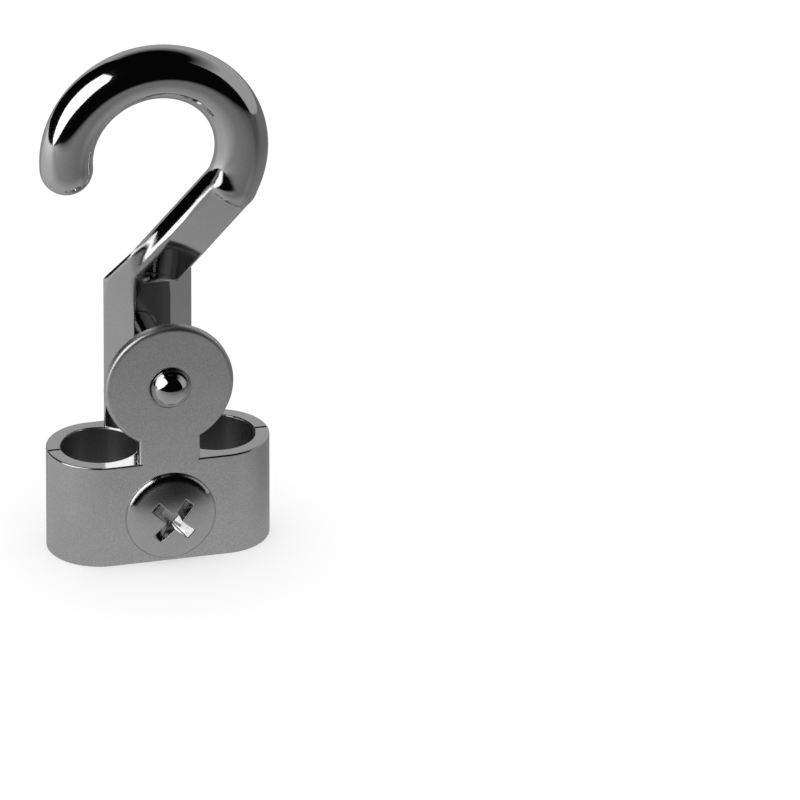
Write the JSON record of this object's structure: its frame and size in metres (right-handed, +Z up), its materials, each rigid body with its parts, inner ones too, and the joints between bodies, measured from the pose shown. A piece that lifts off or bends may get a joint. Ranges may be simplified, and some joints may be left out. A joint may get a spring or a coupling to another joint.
{
  "type": "rope hook",
  "caption": "Open metal hook on a split clamp: a rope loops over the pin behind the round ear, and a screw closes the clamp on the rope's legs.",
  "frame": {"origin": "on the base, midway between the two rope channels and between the two clamp halves", "axes": "+X across the rope channels, +Y from the front half with the ear to the back, +Z up towards the hook"},
  "size_m": [0.0478, 0.0258, 0.1114],
  "materials": {
    "hook_plating": "polished",
    "clamp_plating": "satin",
    "pin_plating": "polished",
    "screw_plating": "polished"
  },
  "bodies": {
    "root": {"hook_body": "hook_plating", "front_clamp": "clamp_plating", "rope_pin": "pin_plating", "clamp_screw": "screw_plating"}
  },
  "joints": []
}
